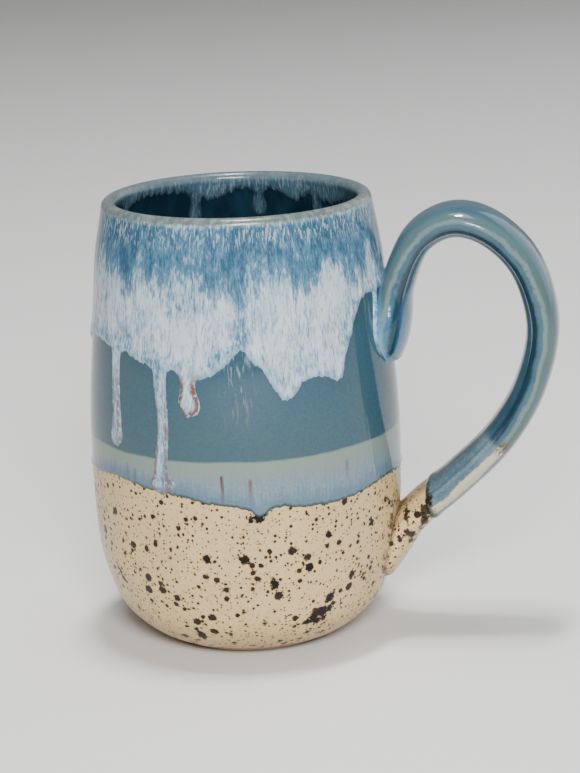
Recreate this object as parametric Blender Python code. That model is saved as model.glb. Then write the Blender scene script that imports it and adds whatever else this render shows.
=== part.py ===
"""Hand-thrown stoneware mug with a pulled strap handle and dipped glazes.

The frame is in metres, +Z up, with the origin at the centre of the flat foot and the handle towards +X.
The clay is two pieces, the thrown cup and the strap, joined by two pads of slip. Each coat of glaze is a
closed skin of its own that lies over the clay and stops a small clearance from its neighbours.
Azimuths are in degrees round the axis from the front (-Y), positive towards the handle (+X at 90).
"""

import math

import bmesh
import bpy

MM = 0.001

# Overall sizes, on the outside of the glaze.
HEIGHT = 127.0 * MM
BELLY_RADIUS = 44.1 * MM
FOOT_RADIUS = 24.0 * MM
FLOOR_HEIGHT = 6.5 * MM
FLOOR_FLAT_RADIUS = 20.0 * MM
FLOOR_TURN_HEIGHT = 32.0 * MM

# What the wall is built of. The fit is the clearance that any two touching pieces keep.
CLAY = 2.4 * MM
GLAZE = 0.5 * MM
SLIP = 0.5 * MM
FIT = 0.3 * MM
COVER = GLAZE + FIT
WALL = CLAY + 2 * COVER

# The outside of the wall: share of the height, and how far in from the belly.
SIDE = (
    (0.024, 14.8 * MM),
    (0.055, 9.9 * MM),
    (0.094, 5.9 * MM),
    (0.142, 3.5 * MM),
    (0.205, 1.4 * MM),
    (0.283, 0.4 * MM),
    (0.394, 0.0 * MM),
    (0.520, 0.2 * MM),
    (0.646, 1.4 * MM),
    (0.772, 3.0 * MM),
    (0.882, 4.3 * MM),
    (0.961, 5.8 * MM),
    (0.984, 6.3 * MM),
)
LIP_STEPS = 6
TURN_STEPS = 4

# Glaze lines. Each wave is (azimuth, rise above the line's own height).
GLAZE_LINE_HEIGHT = 48.0 * MM
GLAZE_LINE_WAVE = (
    (-66, 4.0 * MM),
    (-30, 4.6 * MM),
    (-4, 1.9 * MM),
    (13, -1.9 * MM),
    (20, 0.4 * MM),
    (56, 0.4 * MM),
    (72, 1.5 * MM),
    (92, 0.0 * MM),
    (130, 2.5 * MM),
    (172, 4.0 * MM),
    (215, 0.8 * MM),
    (252, 3.0 * MM),
)
WHITE_LINE_HEIGHT = 86.0 * MM
WHITE_LINE_WAVE = (
    (-70, 4.0 * MM),
    (-34, 2.0 * MM),
    (-2, 0.0 * MM),
    (9, 5.5 * MM),
    (17, 0.0 * MM),
    (32, -4.0 * MM),
    (47, -4.0 * MM),
    (56, 7.0 * MM),
    (65, 15.0 * MM),
    (104, 14.0 * MM),
    (122, 4.0 * MM),
    (150, -2.0 * MM),
    (178, 3.0 * MM),
    (214, -3.0 * MM),
    (250, 5.0 * MM),
)
# Runs of white glaze: azimuth, share of the way down to the glaze line, half-width in degrees.
RUNS = (
    (-46, 0.72, 4.0),
    (-22, 0.93, 4.5),
    (-11, 0.34, 5.0),
    (24, 0.22, 7.0),
    (128, 0.35, 5.0),
    (146, 0.66, 4.5),
    (163, 0.88, 4.5),
    (188, 0.40, 6.0),
    (209, 0.76, 4.5),
    (236, 0.45, 5.5),
    (268, 0.25, 7.0),
)
# Inside the mouth the white glaze ends this far below the rim.
MOUTH_BAND = 9.0 * MM
MOUTH_WAVE = (
    (-70, 1.5 * MM),
    (-20, -1.0 * MM),
    (35, 1.0 * MM),
    (95, -1.5 * MM),
    (165, 1.5 * MM),
    (225, -1.0 * MM),
)
# The foot is wiped clean up to this height.
WIPED_HEIGHT = 4.0 * MM

# The handle, as a path up the wall: share of the reach out from the wall, and share of the height.
HANDLE_REACH = 43.1 * MM
HANDLE_PATH = (
    (0.00, 0.638),
    (0.05, 0.720),
    (0.10, 0.799),
    (0.25, 0.896),
    (0.50, 0.940),
    (0.74, 0.917),
    (0.94, 0.834),
    (1.00, 0.707),
    (0.88, 0.570),
    (0.66, 0.449),
    (0.38, 0.353),
    (0.115, 0.272),
    (0.03, 0.207),
    (0.005, 0.142),
)
# The strap's clay section along the path: share of the path, half-width, half-thickness.
STRAP = (
    (0.00, 6.0 * MM, 0.9 * MM),
    (0.03, 11.8 * MM, 1.9 * MM),
    (0.07, 13.4 * MM, 2.8 * MM),
    (0.15, 10.8 * MM, 3.5 * MM),
    (0.24, 9.8 * MM, 3.6 * MM),
    (0.70, 9.8 * MM, 3.6 * MM),
    (0.85, 10.8 * MM, 3.7 * MM),
    (0.93, 12.6 * MM, 2.8 * MM),
    (0.97, 11.5 * MM, 1.8 * MM),
    (1.00, 6.5 * MM, 0.9 * MM),
)
STRAP_SQUARENESS = 2.5
WRAP_ENDS_BY = 0.22
HANDLE_GLAZE_END = 0.80
SLIP_MARGIN = 1.2 * MM

# How finely the round shapes are divided. The run columns are shares of a run's half-width.
TURNED_STEPS = 48
SKIN_STEPS = 36
RUN_COLUMNS = (-1.0, -0.7, 0.0, 0.7, 1.0)
STRAP_STEPS = 28
SECTION_STEPS = 14


def smooth_between(points, x):
    """Reads a curve through (x, value) points, with level ends and Catmull-Rom tangents."""
    if x <= points[0][0]:
        return points[0][1]
    if x >= points[-1][0]:
        return points[-1][1]
    k = max(i for i in range(len(points) - 1) if points[i][0] <= x)
    (x0, y0), (x1, y1) = points[k], points[k + 1]

    def tangent(i):
        low, high = max(i - 1, 0), min(i + 1, len(points) - 1)
        return (points[high][1] - points[low][1]) / (points[high][0] - points[low][0])

    t = (x - x0) / (x1 - x0)
    rise = (x1 - x0) * (tangent(k) * t * (1 - t) ** 2 - tangent(k + 1) * t * t * (1 - t))
    return y0 + (y1 - y0) * t * t * (3 - 2 * t) + rise


def around(wave, azimuth):
    """Reads a wave of (azimuth, value) points that closes on itself round the mug."""
    azimuth = (azimuth - wave[0][0]) % 360 + wave[0][0]
    ring = wave + ((wave[0][0] + 360, wave[0][1]),)
    for (a0, v0), (a1, v1) in zip(ring, ring[1:]):
        if a0 <= azimuth <= a1:
            ease = (1 - math.cos(math.pi * (azimuth - a0) / (a1 - a0))) / 2
            return v0 + (v1 - v0) * ease
    return wave[0][1]


def apart(a, b):
    """The angle between two azimuths, 0 to 180."""
    return abs((a - b + 180) % 360 - 180)


def side_radius(z):
    """Radius of the glazed outside at a height."""
    return BELLY_RADIUS - smooth_between(SIDE, z / HEIGHT)


def visible_section():
    """Half of the mug's section as (radius, height) points, from the foot's edge over the lip to the floor."""
    side = [(BELLY_RADIUS - inset, HEIGHT * share) for share, inset in SIDE]
    lip_middle = side[-1][0] - WALL / 2
    lip_level = HEIGHT - WALL / 2
    side[-1] = (side[-1][0], lip_level)
    turns = [math.pi * k / LIP_STEPS for k in range(1, LIP_STEPS)]
    lip = [(lip_middle + WALL / 2 * math.cos(t), lip_level + WALL / 2 * math.sin(t)) for t in turns]
    inside = [(radius - WALL, z) for radius, z in reversed(side) if z > FLOOR_TURN_HEIGHT]
    turn_radius = side_radius(FLOOR_TURN_HEIGHT) - WALL
    corner = []
    for k in range(TURN_STEPS + 1):
        t = math.pi / 2 * k / TURN_STEPS
        across = (turn_radius - FLOOR_FLAT_RADIUS) * math.cos(t)
        down = (FLOOR_TURN_HEIGHT - FLOOR_HEIGHT) * math.sin(t)
        corner.append((FLOOR_FLAT_RADIUS + across, FLOOR_TURN_HEIGHT - down))
    return side + lip + inside + corner


SECTION = visible_section()
# Where the inside wall starts, and the first point of the section that can be above the glaze line.
INSIDE_START = len(SIDE) - 1 + LIP_STEPS
GLAZE_LINE_POINT = max(k for k, (share, inset) in enumerate(SIDE) if share * HEIGHT < GLAZE_LINE_HEIGHT) + 1
FIT_TURNS = (-math.degrees(FIT / BELLY_RADIUS), 0.0, math.degrees(FIT / BELLY_RADIUS))


def section_normals():
    """The outward normal at each point of the section."""
    normals = []
    for k in range(len(SECTION)):
        (r0, z0), (r1, z1) = SECTION[max(k - 1, 0)], SECTION[min(k + 1, len(SECTION) - 1)]
        length = math.hypot(r1 - r0, z1 - z0)
        normals.append(((z1 - z0) / length, (r0 - r1) / length))
    normals[-1] = (0.0, 1.0)
    return normals


NORMALS = section_normals()


def at(place, depth):
    """The (radius, height) of a place on the section, a depth below the glazed surface.

    A place counts the section's points, so 2.5 is halfway from point 2 to point 3.
    """
    k = min(int(place), len(SECTION) - 2)
    t = place - k
    radius = SECTION[k][0] * (1 - t) + SECTION[k + 1][0] * t
    height = SECTION[k][1] * (1 - t) + SECTION[k + 1][1] * t
    out = NORMALS[k][0] * (1 - t) + NORMALS[k + 1][0] * t
    up = NORMALS[k][1] * (1 - t) + NORMALS[k + 1][1] * t
    return radius - depth * out, height - depth * up


def outside_place(z):
    """The place on the outside wall at a height."""
    for k in range(len(SIDE) - 1):
        if z <= SECTION[k + 1][1]:
            return k + max(z - SECTION[k][1], 0.0) / (SECTION[k + 1][1] - SECTION[k][1])
    return float(len(SIDE) - 1)


def inside_place(z):
    """The place on the inside wall at a height."""
    for k in range(INSIDE_START, len(SECTION) - 1):
        if z >= SECTION[k + 1][1]:
            return k + (SECTION[k][1] - z) / (SECTION[k][1] - SECTION[k + 1][1])
    return float(len(SECTION) - 1)


def on_mug(azimuth, radius, z):
    """A point in the frame from its azimuth, radius and height."""
    turn = math.radians(azimuth)
    return (radius * math.sin(turn), -radius * math.cos(turn), z)


def material(name, colour, roughness):
    """A plain material in the piece's own colour."""
    made = bpy.data.materials.new(name)
    made.use_nodes = True
    shader = made.node_tree.nodes["Principled BSDF"]
    shader.inputs["Base Color"].default_value = (*colour, 1.0)
    shader.inputs["Roughness"].default_value = roughness
    shader.inputs["Metallic"].default_value = 0.0
    return made


def add(name, points, faces, look=None):
    """Makes an object of points and faces, turned to face out. Without a look it is a hidden guide."""
    mesh = bpy.data.meshes.new(name)
    mesh.from_pydata(points, [], faces)
    shape = bmesh.new()
    shape.from_mesh(mesh)
    bmesh.ops.recalc_face_normals(shape, faces=shape.faces)
    shape.to_mesh(mesh)
    shape.free()
    mesh.shade_smooth()
    mesh.set_sharp_from_angle(angle=math.radians(40))
    obj = bpy.data.objects.new(name, mesh)
    bpy.context.scene.collection.objects.link(obj)
    if look:
        mesh.materials.append(look)
    else:
        obj.hide_render = True
        obj.display_type = "WIRE"
    return obj


def combine(obj, cutter, operation="DIFFERENCE"):
    """Cuts an object by a guide, or keeps what they share."""
    boolean = obj.modifiers.new(cutter.name, "BOOLEAN")
    boolean.operation = operation
    boolean.solver = "EXACT"
    boolean.object = cutter


def evenly(count):
    """Azimuths in equal steps round the mug."""
    return [360 * i / count for i in range(count)]


def with_runs():
    """Azimuths for a coat whose edge has runs: even steps, and closer ones across each run."""
    found = [a for a in evenly(SKIN_STEPS) if all(apart(a, middle) > width for middle, _, width in RUNS)]
    for middle, _, half_width in RUNS:
        found += [(middle + half_width * share) % 360 for share in RUN_COLUMNS]
    return sorted(found)


def turned(name, outline, steps, look=None):
    """Turns an outline about the axis, with a flat disc across each end."""
    points = []
    for radius, z in outline:
        points += [on_mug(azimuth, radius, z) for azimuth in evenly(steps)]
    last = (len(outline) - 1) * steps
    faces = [tuple(range(steps)), tuple(range(last, last + steps))]
    for low in range(0, last, steps):
        for i in range(steps):
            j = (i + 1) % steps
            faces.append((low + i, low + steps + i, low + steps + j, low + j))
    return add(name, points, faces, look)


def skin(name, rows_at, azimuths, top, bottom, look=None, floor=False):
    """A closed layer round the mug between two depths.

    rows_at(azimuth) lists its places in order. With a floor the last row is filled across, as in a cup.
    """
    columns = [rows_at(azimuth) for azimuth in azimuths]
    rows = len(columns[0])
    points = []
    for azimuth, places in zip(azimuths, columns):
        for depth in (top, bottom):
            points += [on_mug(azimuth, *at(place, depth)) for place in places]
    faces = []
    for i in range(len(columns)):
        a, b = 2 * rows * i, 2 * rows * ((i + 1) % len(columns))
        for k in range(rows - 1):
            faces.append((a + k, b + k, b + k + 1, a + k + 1))
            faces.append((a + rows + k, a + rows + k + 1, b + rows + k + 1, b + rows + k))
        faces.append((a, a + rows, b + rows, b))
        if not floor:
            faces.append((a + rows - 1, b + rows - 1, b + 2 * rows - 1, a + 2 * rows - 1))
    if floor:
        for last in (rows - 1, 2 * rows - 1):
            faces.append(tuple(2 * rows * i + last for i in range(len(columns))))
    return add(name, points, faces, look)


def stops(low, high, knots):
    """Places from low to high by way of the knots. A knot that lies outside is kept just inside the nearer end."""
    least = min(0.02, (high - low) / (len(knots) + 2))
    between = []
    for k, knot in enumerate(knots):
        between.append(min(max(knot, low + least * (k + 1)), high - least * (len(knots) - k)))
    return [low] + between + [high]


def glaze_line(azimuth):
    """Height where the blue glaze ends over the cream one."""
    return GLAZE_LINE_HEIGHT + around(GLAZE_LINE_WAVE, azimuth)


def white_line(azimuth):
    """Height where the white glaze ends, with its runs."""
    level = WHITE_LINE_HEIGHT + around(WHITE_LINE_WAVE, azimuth)
    low = level
    for middle, share, half_width in RUNS:
        away = apart(azimuth, middle) / half_width
        if away < 1:
            drop = share * (level - glaze_line(azimuth))
            low = min(low, level - drop * (1 - away**3))
    return low


def mouth_line(azimuth):
    """Height inside the mouth where the white glaze ends over the liner."""
    return HEIGHT - MOUTH_BAND + around(MOUTH_WAVE, azimuth)


def above(line, azimuth):
    """A wavy line moved up by the fit, and aside by it where the line is steep."""
    return max(line(azimuth + turn) for turn in FIT_TURNS) + FIT


def below(line, azimuth):
    """A wavy line moved down by the fit, and aside by it where the line is steep."""
    return min(line(azimuth + turn) for turn in FIT_TURNS) - FIT


def make_body(look):
    """The thrown cup: a flat foot, a rounded heel, a wall of even thickness and a round lip."""
    shell = [at(k, COVER) for k in range(len(SECTION))]
    return turned("body", [(FOOT_RADIUS, 0.0)] + shell, TURNED_STEPS, look)


def make_liner_glaze(look):
    """The dark glaze poured into the cup. It covers the floor and the wall up to the mouth."""

    def rows_at(azimuth):
        edge = inside_place(below(mouth_line, azimuth))
        return stops(edge, len(SECTION) - 1, list(range(INSIDE_START + 2, len(SECTION) - 1)))

    return skin("liner_glaze", rows_at, evenly(TURNED_STEPS), 0.0, GLAZE, look, floor=True)


def make_white_glaze(look):
    """The white glaze: over the lip, down the outside in runs, and a short way into the mouth."""
    wall_and_lip = list(range(GLAZE_LINE_POINT, INSIDE_START + 3))

    def rows_at(azimuth):
        low = outside_place(white_line(azimuth))
        return stops(low, inside_place(mouth_line(azimuth)), wall_and_lip)

    return skin("white_glaze", rows_at, with_runs(), 0.0, GLAZE, look)


def make_blue_glaze(look):
    """The blue glaze below the white, down to the glaze line."""

    def rows_at(azimuth):
        low = outside_place(above(glaze_line, azimuth))
        high = outside_place(below(white_line, azimuth))
        return stops(low, high, list(range(GLAZE_LINE_POINT, GLAZE_LINE_POINT + 4)))

    return skin("blue_glaze", rows_at, with_runs(), 0.0, GLAZE, look)


def make_base_glaze(look):
    """The speckled cream glaze on the lower wall. It stops short of the foot, which was wiped clean."""

    def rows_at(azimuth):
        low = outside_place(WIPED_HEIGHT)
        return stops(low, outside_place(glaze_line(azimuth)), list(range(1, GLAZE_LINE_POINT + 1)))

    return skin("base_glaze", rows_at, with_runs(), 0.0, GLAZE, look)


def handle_point(share):
    """A point on the handle's middle line, by its share of the path, as (radius, height)."""
    k = share * (len(HANDLE_PATH) - 1)
    outs = tuple((i, out) for i, (out, up) in enumerate(HANDLE_PATH))
    ups = tuple((i, up) for i, (out, up) in enumerate(HANDLE_PATH))
    z = smooth_between(ups, k) * HEIGHT
    return side_radius(z) + smooth_between(outs, k) * HANDLE_REACH, z


def strap(name, start, end, growth, look=None):
    """The strap swept along its path from one share to another, its section grown on every side.

    Near the wall the section bends round the mug, so that the ends lie flat on it.
    """
    widths = tuple((share, width) for share, width, thickness in STRAP)
    thicknesses = tuple((share, thickness) for share, width, thickness in STRAP)
    points = []
    for step in range(STRAP_STEPS + 1):
        share = start + (end - start) * step / STRAP_STEPS
        x, z = handle_point(share)
        (x0, z0), (x1, z1) = handle_point(max(share - 0.01, 0.0)), handle_point(min(share + 0.01, 1.0))
        length = math.hypot(x1 - x0, z1 - z0)
        along = ((x1 - x0) / length, (z1 - z0) / length)
        if share in (0.0, 1.0):
            push = growth if share else -growth
            x, z = x + push * along[0], z + push * along[1]
        half_width = smooth_between(widths, share) + growth
        half_thickness = smooth_between(thicknesses, share) + growth
        wrap = max(0.0, 1 - min(share, 1 - share) / WRAP_ENDS_BY)
        for i in range(SECTION_STEPS):
            turn = 2 * math.pi * i / SECTION_STEPS
            side, out = math.cos(turn), math.sin(turn)
            power = 2 / STRAP_SQUARENESS
            y = half_width * math.copysign(abs(side) ** power, side)
            rise = half_thickness * math.copysign(abs(out) ** power, out)
            reach = side_radius(z)
            bend = wrap * (reach - math.sqrt(reach * reach - y * y))
            points.append((x - along[1] * rise - bend, y, z + along[0] * rise))
    faces = [tuple(range(SECTION_STEPS))]
    for k in range(STRAP_STEPS):
        low, high = k * SECTION_STEPS, (k + 1) * SECTION_STEPS
        for i in range(SECTION_STEPS):
            j = (i + 1) % SECTION_STEPS
            faces.append((low + i, low + j, high + j, high + i))
    faces.append(tuple(range(STRAP_STEPS * SECTION_STEPS, (STRAP_STEPS + 1) * SECTION_STEPS)))
    return add(name, points, faces, look)


def make_wall_guide(name, depth):
    """A solid of the mug's outside at a depth, for trimming what stands on the wall."""
    return turned(name, [at(k, depth) for k in range(len(SIDE))], TURNED_STEPS)


def make_slip_joint(name, start, end, look):
    """A pad of slip between the cup and one end of the strap, a little wider than the strap's end."""
    pad = strap(name, start, end, SLIP_MARGIN, look)
    places = list(range(len(SIDE)))
    outer = COVER - FIT - SLIP
    shell = skin(name + "_shell", lambda azimuth: places, evenly(TURNED_STEPS), outer, COVER - FIT)
    combine(pad, shell, "INTERSECT")
    return pad


def make_handle_coat(name, start, end, wall, look):
    """A coat of glaze round part of the strap, trimmed where it meets the wall."""
    coat = strap(name, start, end, COVER, look)
    hollow_start = start if start == 0 else start - 0.02
    hollow_end = end if end == 1 else end + 0.02
    hollow = strap(name + "_hollow", hollow_start, hollow_end, FIT)
    combine(coat, hollow)
    combine(coat, wall)
    return coat


def main():
    for obj in list(bpy.data.objects):
        bpy.data.objects.remove(obj, do_unlink=True)

    clay = material("fired_stoneware", (0.62, 0.50, 0.38), 0.70)
    slip = material("slip", (0.55, 0.42, 0.31), 0.75)
    liner = material("teal_liner_glaze", (0.03, 0.09, 0.11), 0.15)
    white = material("white_run_glaze", (0.62, 0.68, 0.76), 0.22)
    blue = material("blue_gloss_glaze", (0.10, 0.22, 0.29), 0.12)
    cream = material("speckled_cream_glaze", (0.72, 0.66, 0.52), 0.35)

    wall = make_wall_guide("wall_guide", COVER - 2 * FIT - SLIP)
    make_body(clay)
    make_liner_glaze(liner)

    handle = strap("handle", 0.0, 1.0, 0.0, clay)
    combine(handle, wall)
    make_handle_coat("handle_blue_glaze", 0.0, HANDLE_GLAZE_END, wall, blue)
    make_handle_coat("handle_base_glaze", HANDLE_GLAZE_END + FIT / HEIGHT, 1.0, wall, cream)
    make_slip_joint("upper_slip_joint", 0.0, 0.4, slip)
    make_slip_joint("lower_slip_joint", 0.6, 1.0, slip)

    footprint = strap("footprint_guide", 0.0, 1.0, SLIP_MARGIN + FIT)
    for coat in (make_white_glaze(white), make_blue_glaze(blue), make_base_glaze(cream)):
        combine(coat, footprint)


main()
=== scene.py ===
# %% [markdown]
# # A dipped stoneware mug
# A potter throws the cup, pulls a strap of clay for the handle, joins the two with slip, and dips the fired
# clay in several glazes. This script builds it in that order: clay first, then each coat of glaze as a thin
# shell with a real edge, then the finishes, the camera and the light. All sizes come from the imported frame.

import math

import bpy
import numpy as np
from mathutils import Matrix, Vector


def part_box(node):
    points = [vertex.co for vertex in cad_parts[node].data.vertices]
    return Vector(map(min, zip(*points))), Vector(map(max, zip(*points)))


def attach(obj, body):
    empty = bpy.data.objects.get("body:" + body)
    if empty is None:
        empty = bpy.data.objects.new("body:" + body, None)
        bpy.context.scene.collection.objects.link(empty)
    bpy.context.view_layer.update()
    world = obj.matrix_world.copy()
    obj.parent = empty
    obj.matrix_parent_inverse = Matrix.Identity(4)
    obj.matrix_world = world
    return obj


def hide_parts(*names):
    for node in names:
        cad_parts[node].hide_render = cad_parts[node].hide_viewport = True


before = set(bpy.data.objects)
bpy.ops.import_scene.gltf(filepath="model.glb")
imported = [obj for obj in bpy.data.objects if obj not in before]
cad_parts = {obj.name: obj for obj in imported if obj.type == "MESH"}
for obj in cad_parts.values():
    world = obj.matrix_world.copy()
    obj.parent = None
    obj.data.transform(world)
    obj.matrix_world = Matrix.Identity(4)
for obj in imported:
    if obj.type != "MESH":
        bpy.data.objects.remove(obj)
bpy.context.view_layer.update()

MM = 0.001
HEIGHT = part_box("white_glaze")[1].z / MM
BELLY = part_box("base_glaze")[1].y / MM
FOOT = 24.0
FLOOR = 6.5
WALL = 4.0
print(f"the mug is {HEIGHT:.1f} mm high and {2 * BELLY:.1f} mm across its belly")

# %% [markdown]
# The camera comes first, so that every later choice can be judged through it. It stands 0.69 m away and a
# hand above the rim, turned a little past the front towards the handle. The long lens keeps the mug's sides
# nearly parallel, and depth of field stays off.

# %% Camera
CAMERA_TURN = 9.5
CAMERA_DISTANCE = 689.7
CAMERA_HEIGHT = 253.2
CAMERA_PAN = 1.09
CAMERA_TILT = 14.82
CAMERA_ROLL = -2.10
SENSOR = 36.0
LENS = 155.3


def camera_frame():
    """The camera's place and axes, turned about the mug's own axis."""
    pan, tilt, roll = (math.radians(a) for a in (CAMERA_PAN, CAMERA_TILT, CAMERA_ROLL))
    ahead = Vector((math.sin(pan) * math.cos(tilt), math.cos(pan) * math.cos(tilt), -math.sin(tilt)))
    right = Vector((math.cos(pan), -math.sin(pan), 0.0))
    up = right.cross(ahead)
    side = math.cos(roll) * right + math.sin(roll) * up
    top = -math.sin(roll) * right + math.cos(roll) * up
    basis = Matrix((side, top, -ahead)).transposed().to_4x4()
    place = Matrix.Translation(Vector((0.0, -CAMERA_DISTANCE, CAMERA_HEIGHT)) * MM)
    return Matrix.Rotation(math.radians(CAMERA_TURN), 4, "Z") @ place @ basis


camera_data = bpy.data.cameras.new("camera")
camera_data.sensor_width = SENSOR
camera_data.sensor_fit = "HORIZONTAL"
camera_data.lens = LENS
camera = bpy.data.objects.new("camera", camera_data)
camera.matrix_world = camera_frame()
bpy.context.scene.collection.objects.link(camera)
bpy.context.scene.camera = camera
print("camera at", [round(v, 3) for v in camera.matrix_world.translation])

# %% [markdown]
# The cup is a turned shape, so half of its section says everything. A smooth curve through a few points
# draws the side, a half circle the lip, and a quarter ellipse the turn from the inner wall to the floor.
# The whole path is kept as one line with its normals, so that any skin can be read off it at any depth.

# %% The cup's section
SIDE = (  # share of the height, and how far in from the belly, mm
    (0.0, 20.5),
    (0.024, 14.8),
    (0.055, 9.9),
    (0.094, 5.9),
    (0.142, 3.5),
    (0.205, 1.4),
    (0.283, 0.4),
    (0.394, 0.0),
    (0.520, 0.2),
    (0.646, 1.4),
    (0.772, 3.0),
    (0.882, 4.3),
    (0.961, 5.8),
    (0.984, 6.3),
)
FLOOR_FLAT = 20.0
FLOOR_TURN = 32.0
SECTION_STEP = 0.25


def smooth_curve(points, steps=24):
    """A dense line through points, by Catmull-Rom."""
    points = np.array(points, float)
    padded = np.vstack([2 * points[0] - points[1], points, 2 * points[-1] - points[-2]])
    t = np.linspace(0, 1, steps, endpoint=False)[:, None]
    pieces = []
    for a, b, c, d in zip(padded, padded[1:], padded[2:], padded[3:]):
        bend, twist = 2 * a - 5 * b + 4 * c - d, 3 * b - a - 3 * c + d
        pieces.append(0.5 * (2 * b + (c - a) * t + bend * t**2 + twist * t**3))
    return np.vstack(pieces + [points[-1:]])


def evenly(line, step):
    """The same line with its points an even step apart."""
    lengths = np.linalg.norm(np.diff(line, axis=0), axis=1)
    along = np.concatenate([[0], np.cumsum(lengths)])
    places = np.linspace(0, along[-1], max(int(along[-1] / step), 2))
    return np.stack([np.interp(places, along, line[:, k]) for k in range(line.shape[1])], axis=1)


side_line = smooth_curve([(BELLY - inset, HEIGHT * share) for share, inset in SIDE])
turn = np.linspace(0, math.pi, 24)[1:-1]
lip_middle = side_line[-1] - (WALL / 2, 0)
lip_line = np.stack([lip_middle[0] + WALL / 2 * np.cos(turn), lip_middle[1] + WALL / 2 * np.sin(turn)], 1)
inner_line = side_line[::-1][side_line[::-1][:, 1] > FLOOR_TURN] - (WALL, 0)
turn = np.linspace(0, math.pi / 2, 30)
corner_line = np.stack([
    FLOOR_FLAT + (inner_line[-1][0] - FLOOR_FLAT) * np.cos(turn),
    FLOOR_TURN - (FLOOR_TURN - FLOOR) * np.sin(turn),
], axis=1)
section = evenly(np.vstack([side_line, lip_line, inner_line, corner_line, [(0.0, FLOOR)]]), SECTION_STEP)
slope = np.gradient(section, axis=0)
slope /= np.hypot(*slope.T)[:, None]
section_normals = np.stack([slope[:, 1], -slope[:, 0]], axis=1)
section_along = np.arange(len(section)) * np.hypot(*(section[1] - section[0]))
crest = int(np.argmax(section[:, 1]))
print(f"the section is {section_along[-1]:.0f} mm long, with its crest at {section_along[crest]:.0f} mm")


def outside_place(height):
    """How far along the section a height on the outside lies."""
    return np.interp(height, section[: crest + 1, 1], section_along[: crest + 1])


def inside_place(height):
    """How far along the section a height on the inside lies."""
    return np.interp(-np.asarray(height), -section[crest:, 1], section_along[crest:])


def on_section(place):
    """Radius, height and normal at a place along the section."""
    parts = (section[:, 0], section[:, 1], section_normals[:, 0], section_normals[:, 1])
    return [np.interp(place, section_along, part) for part in parts]


def side_radius(height):
    """Radius of the outside at a height."""
    return np.interp(height, section[: crest + 1, 1], section[: crest + 1, 0])


# %% [markdown]
# A surface is kept as plain arrays: points, normals, faces and a few named measures per point, all in
# millimetres. The measures go onto the finished mesh as attributes, and the finishes read them.

# %% Arrays to meshes
def add_object(name, mesh, look):
    """Links a mesh as a smooth object with one material."""
    mesh.shade_smooth()
    mesh.materials.clear()
    mesh.materials.append(look)
    obj = bpy.data.objects.new(name, mesh)
    bpy.context.scene.collection.objects.link(obj)
    return obj


def mesh_from(name, points, faces, measures):
    """A mesh from points in mm, faces of three or four corners, and measures kept as attributes."""
    mesh = bpy.data.meshes.new(name)
    loops = np.concatenate([f.ravel() for f in faces]).astype(np.int32)
    sizes = np.concatenate([np.full(len(f), f.shape[1]) for f in faces])
    mesh.vertices.add(len(points))
    mesh.vertices.foreach_set("co", (points * MM).astype(np.float32).ravel())
    mesh.loops.add(len(loops))
    mesh.loops.foreach_set("vertex_index", loops)
    mesh.polygons.add(len(sizes))
    mesh.polygons.foreach_set("loop_start", np.concatenate([[0], np.cumsum(sizes)[:-1]]).astype(np.int32))
    mesh.update(calc_edges=True)
    mesh.validate()
    for measure, values in measures.items():
        mesh.attributes.new(measure, "FLOAT", "POINT").data.foreach_set("value", values.astype(np.float32))
    return mesh


def ring_faces(rows, columns):
    """Faces between rows of points that each close on themselves."""
    grid = np.arange(rows * columns).reshape(rows, columns)
    beside = np.roll(grid, -1, axis=1)
    return np.stack([grid[:-1], beside[:-1], beside[1:], grid[1:]], 2).reshape(-1, 4)


def wall_surface(places, columns):
    """The cup's surface over a stretch of the section, as points, normals, faces and measures."""
    azimuth = np.linspace(-180, 180, columns, endpoint=False)
    radius, height, out, up = on_section(places)
    sine, cosine = np.sin(np.radians(azimuth)), np.cos(np.radians(azimuth))
    level = np.ones(columns)
    points = np.stack([np.outer(radius, sine), -np.outer(radius, cosine), np.outer(height, level)], 2)
    normals = np.stack([np.outer(out, sine), -np.outer(out, cosine), np.outer(up, level)], 2)
    faces = ring_faces(len(places), columns)
    measures = {
        "azimuth": np.tile(azimuth, len(places)),
        "height": np.repeat(height, columns),
        "place": np.repeat(places, columns),
    }
    return points.reshape(-1, 3), normals.reshape(-1, 3), faces, measures


# %% [markdown]
# A coat of glaze ends in a soft, wandering line. The cut is made in three steps. A depth in millimetres is
# worked out for every point, positive inside the coat. Points nearest to the line slide onto it along their
# edges, which keeps it smooth on a coarse grid. Faces with all their corners inside are kept, and the patch
# is closed into a shell whose top rounds over towards the line as a fluid does.

# %% Cut a coat of glaze
def trimmed(points, normals, faces, measures, depth):
    """The part of a surface where depth is positive, with its edge moved onto depth zero."""
    names = list(measures)
    data = np.column_stack([points, normals] + [measures[n] for n in names])
    depth = depth.copy()
    ends = np.vstack([faces[:, [k, (k + 1) % 4]] for k in range(4)])
    ends = np.unique(np.sort(ends, axis=1), axis=0)
    a, b = ends[depth[ends[:, 0]] * depth[ends[:, 1]] < 0].T
    share = depth[a] / (depth[a] - depth[b])
    crossing = data[a] + share[:, None] * (data[b] - data[a])
    mover = np.where(share < 0.5, a, b)
    total = np.zeros_like(data)
    count = np.zeros(len(data))
    np.add.at(total, mover, crossing)
    np.add.at(count, mover, 1)
    moved = count > 0
    data[moved] = total[moved] / count[moved][:, None]
    depth[moved] = 0.0
    inside = (depth >= 0)[faces]
    quads = faces[inside.sum(1) == 4]
    corners, keep = faces[inside.sum(1) == 3], inside[inside.sum(1) == 3]
    triangles = corners[keep].reshape(-1, 3)
    used = np.unique(np.concatenate([quads.ravel(), triangles.ravel()]))
    place = np.full(len(data), -1)
    place[used] = np.arange(len(used))
    data, depth = data[used], depth[used]
    values = {n: data[:, 6 + k] for k, n in enumerate(names)}
    values["edge"] = depth
    return data[:, :3], data[:, 3:6], [place[quads], place[triangles]], values


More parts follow.
